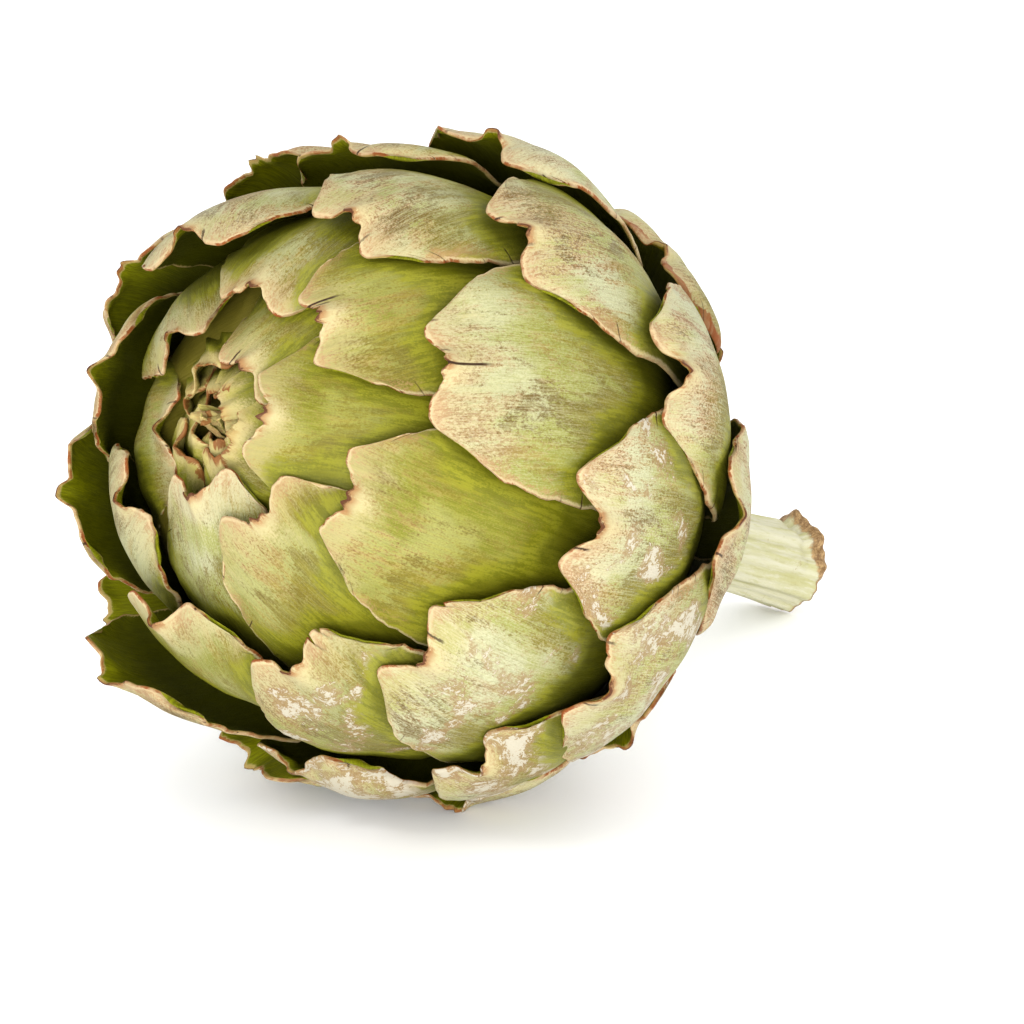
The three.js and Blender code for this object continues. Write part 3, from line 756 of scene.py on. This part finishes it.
def inner_face(s, skin, dark, light, deep):
    """Lengthwise lines of green, with painted shade darkening them towards the root, and paler at the
    rim.
    """
    lining = s.mix(s.ramp(s.fibre, 0.3, 0.7), dark, light)
    # Painted shade: darker down towards the root, where light does not reach.
    lining = s.mix(s.ramp(s.y, 2.0, 18.0, 0.0, 0.85), lining, deep)
    lining = s.mix(s.ramp(s.dry, 0.65, 0.25, 0.0, 0.75), lining, LINING_RIM)
    lining = s.mix(s.times(s.times(s.line, s.browned), 0.9), lining, RIM_BROWN)
    return s.mix(s.ramp(s.inside, 0.5, 0.7), skin, lining)


def young_tip(s, skin):
    """The small leaves' tips are yellowish, and brown at the very end."""
    flushed = s.plus(s.y, s.plus(s.times(s.off_cloud, 12.0), s.times(s.off_stipple, 12.0)))
    skin = s.mix(s.ramp(flushed, 8.0, 1.0, 0.0, 0.5), skin, YOUNG_TIP)
    tipped = s.plus(s.y, s.plus(s.times(s.off_cloud, 14.0), s.times(s.off_streak, 8.0)))
    return s.mix(s.ramp(tipped, 0.8, -0.3, 0.0, 0.85), skin, YOUNG_BROWN)


def bract_material(name, young):
    """The skin of the large bracts, or of the young small leaves, laid on step by step."""
    s = bract_shader(name)
    skin = green_skin(s)
    for step in (tan_wash, specks_stains_and_shade, fibres_and_down, sheltered_green_and_shade, tip_and_rim, notch):
        skin = step(s, skin)
    crack = cracks(s)
    skin = dry_bloom(s, s.mix(crack, skin, CRACK_DARK))
    if young:
        skin = young_tip(s, inner_face(s, skin, YOUNG_DARK, YOUNG_LIGHT, YOUNG_LINING_SHADE))
    else:
        skin = inner_face(s, skin, LINING_DARK, LINING_LIGHT, LINING_SHADE)
    height = s.plus(s.times(s.fibre, 0.45), s.times(s.grain, 0.5))
    height = s.plus(height, s.plus(s.times(s.streak, 0.5), s.times(crack, -1.2)))
    roughness = s.ramp(s.plus(s.grain, s.wash), 0.2, 1.4, 0.50, 0.70)
    return s.surface(skin, roughness, height, 0.45, 0.34, 0.16)


def stem_material(name):
    """A pale ribbed skin with streaks and stains, brown where it has dried, and a fibrous cut."""
    s = Shader(name)
    around, from_cut, dried = s.split(s.attribute("place"))
    even = s.join(around, from_cut, 0.0)
    streak = s.noise(s.join(around, s.times(from_cut, 0.04), 0.0), 0.42, 2.0, 0.5)
    fibre = s.noise(s.join(around, s.times(from_cut, 0.12), 3.0), 1.6, 3.0, 0.65)
    speck = s.noise(even, 1.3, 4.0, 0.75)
    off_speck = s.minus(speck, 0.5)
    skin = s.mix(s.ramp(streak, 0.38, 0.62), STEM_GREEN, STEM_PALE)
    skin = s.mix(s.ramp(fibre, 0.50, 0.66, 0.0, 0.6), skin, STEM_FIBRE)
    skin = s.mix(s.ramp(fibre, 0.46, 0.32, 0.0, 0.4), skin, STEM_FURROW)
    stain = s.plus(s.noise(even, 0.22, 4.0, 0.7), s.times(off_speck, 0.3))
    skin = s.mix(s.ramp(stain, 0.62, 0.74, 0.0, 0.7), skin, STEM_STAIN)
    brown = s.mix(s.ramp(speck, 0.4, 0.62), DRIED_DARK, DRIED_LIGHT)
    dry = s.minus(from_cut, s.plus(s.times(dried, 2.4), s.times(off_speck, 2.0)))
    skin = s.mix(s.ramp(dry, 0.7, 0.1, 0.0, 0.95), skin, brown)
    cut_face = s.mix(s.ramp(speck, 0.35, 0.65), CUT_DARK, CUT_LIGHT)
    skin = s.mix(s.ramp(from_cut, -0.3, -0.8), skin, cut_face)
    height = s.plus(fibre, s.times(speck, 0.8))
    return s.surface(skin, s.ramp(streak, 0.3, 0.7, 0.5, 0.66), height, 0.5, 0.4, 0.25)


def floor_material(name):
    s = Shader(name)
    grain = s.noise(s.node("ShaderNodeTexCoord").outputs["Object"], 900.0, 2.0, 0.5)
    return s.surface(FLOOR_WHITE, 0.8, grain, 0.03, 0.1)


# ---- The bracts ----
# How much dry white bloom shows on the bracts that have most of it.
BLOOMED = {16: 0.93, 21: 0.93, 24: 1.3, 26: 0.93, 29: 1.12, 34: 1.06, 37: 1.2, 42: 1.05, 45: 1.05}
BLOOMS_FROM = 22  # the first of the others on which a little shows

# How far some bracts have tanned, from 0 to 1; above 1 the rim of the tip has dried too.
TANNED = {
    1: 0.7, 2: 0.7, 3: 0.5, 4: 0.8, 5: 0.4, 6: 0.4, 7: 0.9, 8: 0.6, 9: 0.7, 10: 0.6, 11: 0.5,
    12: 1.0, 13: 0.55, 14: 0.6, 15: 1.0, 16: 0.55, 17: 1.0, 18: 0.5, 19: 0.7, 20: 1.0, 21: 0.35,
    23: 1.0, 24: 1.0, 25: 0.9, 26: 0.9, 28: 0.5, 29: 0.7, 31: 1.0, 34: 0.45, 36: 1.7, 39: 0.8,
    42: 1.2, 45: 1.4,
}

# How many bracts older or younger some look than their place on the spiral.
AGED = {
    1: 11, 2: 11, 3: 17, 4: 13, 5: -2, 6: 11, 7: 11, 8: 5, 9: 6, 10: -5, 12: 9, 13: -4, 24: 6, 34: 5,
}

# Splits down from the edge of some bracts: where across, in mm, and how far down, in degrees.
LONG_SPLITS = {10: (3.5, 7.0), 18: (0.3, 10.0), 33: (-1.0, 8.0), 43: (0.5, 9.0)}
NO_SPLIT = (0.0, -5.0)


def bract_blade(bract, across, root, look):
    """A bract or a small leaf, as (vertices, faces, values)."""
    return blade(across, steps_below(root), lambda u, v: bract_surface(bract, u, v, root), look)


def fine_bract(bract):
    own_bloom = 0.6 + 0.2 * chance(bract, 90) if bract >= BLOOMS_FROM else 0.0
    look = (
        0.5 + 0.5 * chance(bract, 91),
        (bract + AGED.get(bract, 0)) / BRACTS,
        BLOOMED.get(bract, own_bloom),
        TANNED.get(bract, 0.6 + 0.3 * chance(bract, 92)),
        *LONG_SPLITS.get(bract, NO_SPLIT),
    )
    return bract_blade(bract, steps_across(), root_down(bract) - tip_down(bract), look)


# ---- The bud: its small and narrow leaves, and its core ----
# The narrow leaves in the hole of the tip: how far from the axis they stand and on which side,
# their length and half width, and how they lean (degrees) and bend (mm), outwards if above 0.
SPIKES = (
    (3.4, 20, 12.5, 3.2, -14, -1.6), (2.4, 95, 11.5, 2.6, -20, -1.0),
    (3.6, 150, 12.5, 3.2, -8, -2.0), (3.2, 215, 11.0, 2.8, -16, -1.4),
    (3.4, 275, 13.0, 3.0, -22, -1.2), (2.6, 325, 10.5, 2.4, -10, -1.8),
    (1.0, 60, 10.0, 2.2, 6, 1.4),
)
SPIKE_FOOT = 39.0  # how far above the head's centre they stand
CORE_SEGMENTS, STEM_SEGMENTS = 48, 144


def round_body(profile, segments, radius_at=None):
    """A closed body of rings about the head's axis, from (radius, height) pairs."""
    angle = np.linspace(0, 2 * np.pi, segments, endpoint=False)
    points = [np.array([[0.0, 0.0, profile[0][1]]])]
    for ring, (r, z) in enumerate(profile[1:-1], 1):
        r = np.full(segments, r) if radius_at is None else radius_at(ring, np.degrees(angle), r, z)
        points.append(np.stack([r * np.cos(angle), r * np.sin(angle), np.full(segments, z)], axis=-1))
    points.append(np.array([[0.0, 0.0, profile[-1][1]]]))

    def corner(ring, k):
        return 1 + (ring - 1) * segments + k % segments

    last, end = len(profile) - 2, corner(len(profile) - 1, 0)
    around = range(segments)
    faces = [(0, corner(1, k), corner(1, k + 1)) for k in around]
    faces += [(end, corner(last, k + 1), corner(last, k)) for k in around]
    for a in range(1, last):
        b = a + 1
        faces += [(corner(a, k), corner(b, k), corner(b, k + 1), corner(a, k + 1)) for k in around]
    return np.concatenate(points), faces


def heart_ring(bract):
    """Where the root of a bract meets the heart, as (radius, height)."""
    down = root_down(bract)
    radius = shell(bract, down, OPEN_SIDE) - MIDDLE_THICKNESS - GAP
    return radius * sin(down), radius * cos(down)


def fine_leaf(leaf):
    look = (0.5 + 0.5 * chance(leaf, 91), 0.24, 0.0, 0.9, *NO_SPLIT)
    return bract_blade(leaf, steps_across()[::2], LEAF_LENGTH, look)


def spike(from_axis, around, length, width, lean, bend):
    """A narrow leaf, as (vertices, faces, values)."""
    out = np.array([cos(around), sin(around), 0.0])
    along = np.array([sin(lean) * out[0], sin(lean) * out[1], cos(lean)])
    sideways = np.array([-sin(around), cos(around), 0.0])
    front = np.cross(sideways, along)

    def surface_at(u, v):
        share = v / length
        half = width * (0.10 + 0.90 * share**0.7)
        middle = from_axis * out + np.array([0.0, 0.0, SPIKE_FOOT])
        middle = middle + (length - v)[..., None] * along
        curled = bend * (1 - share) ** 2 - 0.35 * half * u * u + 0.15 * np.sin(2.2 * v + 3 * u)
        points = middle + (u * half)[..., None] * sideways + curled[..., None] * front
        edge = np.minimum(np.minimum(v, (1 - np.abs(u)) * half), length - v)
        thick = (0.5 * EDGE_THICKNESS * np.sqrt(np.clip(edge / RIM_ROUNDED, 0, 1)))[..., None] * front
        # The material reads it as clear of its neighbours and of the notch.
        cover = np.full(u.shape, -9.0)
        return lie_down(points + thick), lie_down(points - thick), 12 + u * half, edge, cover, v

    steps = length * np.array([0, 0.02, 0.06, 0.12, 0.2, 0.3, 0.42, 0.55, 0.7, 0.85, 1.0])
    look = (0.5 + 0.4 * math.sin(around), 0.0, 0.0, 1.0, *NO_SPLIT)
    points, faces, values = blade(np.linspace(-1, 1, 13), steps, surface_at, look)
    # It also reads it as a little in from the tip and the rim, so that little of them is brown.
    values["place"][:, 1:] += (1.0, 1.2)
    return points, faces, values


def bud_core():
    """The core that the small leaves stand out of, hollowed at the tip."""
    profile = []
    for down in CORE_RINGS:
        hollow = HOLE_DEPTH * math.exp(-((down / HOLE_SPREAD) ** 2))
        radius = shell(1, down, OPEN_SIDE + 180) - MIDDLE_THICKNESS - GAP - hollow
        profile.append((radius * sin(down), radius * cos(down)))
    radius, height = heart_ring(1)
    profile += [(radius - 1, height + GAP), (0.0, height + GAP)]
    points, faces = round_body(profile, CORE_SEGMENTS)
    # The material reads it as the inner face of a leaf, well off its edges.
    count = len(points)
    place = [points[:, 0] * 1.3 + points[:, 1], 62 - points[:, 2], np.full(count, 6.0)]
    values = {
        "place": np.stack(place, axis=-1),
        "kind": np.tile([1.0, 0.5, 0.0], (count, 1)),
        "cover": np.zeros((count, 3)),
        "worn": np.tile([0.0, 9.0, -5.0], (count, 1)),
    }
    return lie_down(points), faces, values


def fine_bud():
    """The small leaves, the narrow ones and the core, as (vertices, faces, values)."""
    leaves = [fine_leaf(leaf) for leaf in range(0, -TIP_LEAVES, -1)]
    return join(leaves + [spike(*numbers) for numbers in SPIKES] + [bud_core()])


# ---- The heart and the stem ----
def stem_profile():
    """The heart, the neck below it, the stem and its hollow cut, as (radius, height) pairs."""
    profile = [(0.0, heart_ring(1)[1])] + [heart_ring(bract) for bract in HEART_RINGS]
    width, top = profile[-1]
    for share in np.linspace(0.04, 1, 24):
        narrowed = mix(width, STEM_RADIUS, math.sin(0.5 * math.pi * share))
        profile.append((narrowed, top - NECK_LENGTH * share))
    neck = profile[-1][1]
    for share in np.concatenate([np.linspace(0.02, 0.88, 40), np.linspace(0.89, 1, 22)]):
        profile.append((STEM_RADIUS + CUT_FLARE * share**6, mix(neck, -STEM_END, share)))
    for share, height in ((0.97, 0.3), (0.75, CUT_HOLLOW * 0.4), (0.0, CUT_HOLLOW)):
        profile.append((STEM_RADIUS * share, height - STEM_END))
    return profile


def dried_side(angle):
    """How far the skin at the cut has dried and curled back, from 0 to 1."""
    return smooth(cos(angle + 25), 0.1, 0.75)


def ribbed(angle, radius, from_cut):
    """The stem's radius with its ribs, and with the dried and ragged rim of the cut."""
    ribs = RIB_HEIGHT * cos(STEM_RIBS * angle) + 0.16 * cos(23 * angle + 2 * from_cut)
    ragged = 0.5 * cos(3 * angle + 40) + 0.25 * cos(7 * angle) + 0.12 * cos(17 * angle)
    curl = (1.5 + 0.9 * ragged) * np.exp(-(((from_cut - 1.2 - 0.5 * ragged) / 1.3) ** 2))
    pinch = -0.8 * np.exp(-(((from_cut - 4.2) / 1.6) ** 2))
    return radius + ribs + dried_side(angle) * (curl + pinch) + 0.25 * ragged * np.exp(-from_cut / 1.5)


def fine_stem():
    """The heart and the stem, as (vertices, faces, values).

    Its material reads mm around, mm from the cut (-1 on the cut itself) and the dried side.
    """
    profile = stem_profile()
    ribbed_rings = range(1 + len(HEART_RINGS), len(profile) - 3)

    def radius_at(ring, angle, radius, height):
        plain = np.full(len(angle), radius)
        return ribbed(angle, radius, STEM_END + height) if ring in ribbed_rings else plain

    points, faces = round_body(profile, STEM_SEGMENTS, radius_at)
    angle = np.degrees(np.arctan2(points[:, 1], points[:, 0]))
    from_cut = STEM_END + points[:, 2]
    from_cut[-(2 * STEM_SEGMENTS + 1):] = -1.0
    place = np.stack([angle * math.radians(STEM_RADIUS), from_cut, dried_side(angle)], axis=-1)
    return lie_down(points), faces, {"place": place}


# ---- Camera, floor and lights ----
# The camera, fitted to the photograph, in degrees, mm and pixels of the photograph's frame, and
# where in that frame the centre of the head lies.
ELEVATION, AZIMUTH, DISTANCE = 18.64, -50.23, 757.9
PHOTO_SIDE, FOCAL_PIXELS, HEAD_X, HEAD_Y = 1024, 4550.0, 397.2, 466.6
SENSOR = 36.0  # mm

# Each light's place and aim in m, its size in m and its power in W.
LIGHTS = {
    "key": ((-1.1, 0.2, 1.1), (0, 0, 0.04), 0.3, 4.2),
    "right_fill": ((0.5, -1.1, 0.08), (0, 0, 0.03), 0.6, 6),
    "low_fill": ((-0.85, -0.6, 0.08), (0, 0, 0.03), 0.6, 16),
}
WORLD_LIGHT = 1.44
FLOOR_HALF, FLOOR_DOWN = 6.0, 0.0002  # m


def add_facing(name, data, right, up, back, place):
    """A camera or a light at a place in m, with its back turned to a direction."""
    matrix = np.eye(4)
    matrix[:3] = np.stack([right, up, back, place], axis=-1)
    thing = add_object(name, data)
    thing.matrix_world = Matrix(matrix.tolist())
    return thing


def add_camera():
    right = np.array([cos(AZIMUTH), sin(AZIMUTH), 0.0])
    level = np.array([-sin(AZIMUTH), cos(AZIMUTH), 0.0])
    forward = level * cos(ELEVATION) - np.array([0.0, 0.0, sin(ELEVATION)])
    up = np.cross(right, forward)
    middle = PHOTO_SIDE / 2
    off = right * (HEAD_X - middle) / FOCAL_PIXELS - up * (HEAD_Y - middle) / FOCAL_PIXELS
    data = bpy.data.cameras.new("camera")
    data.sensor_width = SENSOR
    data.lens = SENSOR * FOCAL_PIXELS / PHOTO_SIDE
    data.clip_start, data.clip_end = 0.01, 50.0
    place = (CENTRE - DISTANCE * (forward + off)) * MM
    bpy.context.scene.camera = add_facing("camera", data, right, up, -forward, place)


def add_floor():
    far = FLOOR_HALF
    mesh = bpy.data.meshes.new("floor")
    mesh.from_pydata([(-far, -far, 0), (far, -far, 0), (far, far, 0), (-far, far, 0)], [], [(0, 1, 2, 3)])
    mesh.materials.append(floor_material("floor_white"))
    floor = add_object("floor", mesh)
    floor.location.z = -FLOOR_DOWN


def add_light(name, place, aim, size, power):
    data = bpy.data.lights.new(name, "AREA")
    data.shape, data.size, data.energy = "DISK", size, power
    back = np.subtract(place, aim)
    back /= np.linalg.norm(back)
    side = np.cross([0, 0, 1], back)
    side /= np.linalg.norm(side)
    add_facing(name, data, side, np.cross(back, side), back, place)


def add_world():
    world = bpy.data.worlds.new("studio")
    world.use_nodes = True
    background = world.node_tree.nodes["Background"].inputs
    background["Color"].default_value = (1, 1, 1, 1)
    background["Strength"].default_value = WORLD_LIGHT
    bpy.context.scene.world = world
    bpy.context.scene.view_settings.view_transform = "Standard"


# ---- The scene ----
def dress(node, name, solid, material):
    piece = add_mesh(name, *solid, material)
    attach(piece, "root")
    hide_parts(node)


add_camera()
bract_skin = bract_material("bract_skin", False)
for bract in range(1, BRACTS + 1):
    dress(f"bract_{bract:02d}", f"bract_{bract:02d}_fine", fine_bract(bract), bract_skin)
young_skin = bract_material("young_skin", True)
dress("heart_leaves", "heart_leaves_fine", fine_bud(), young_skin)
dress("stem_and_heart", "stem_fine", fine_stem(), stem_material("stem_skin"))
add_floor()
add_world()
for name, settings in LIGHTS.items():
    add_light(name, *settings)
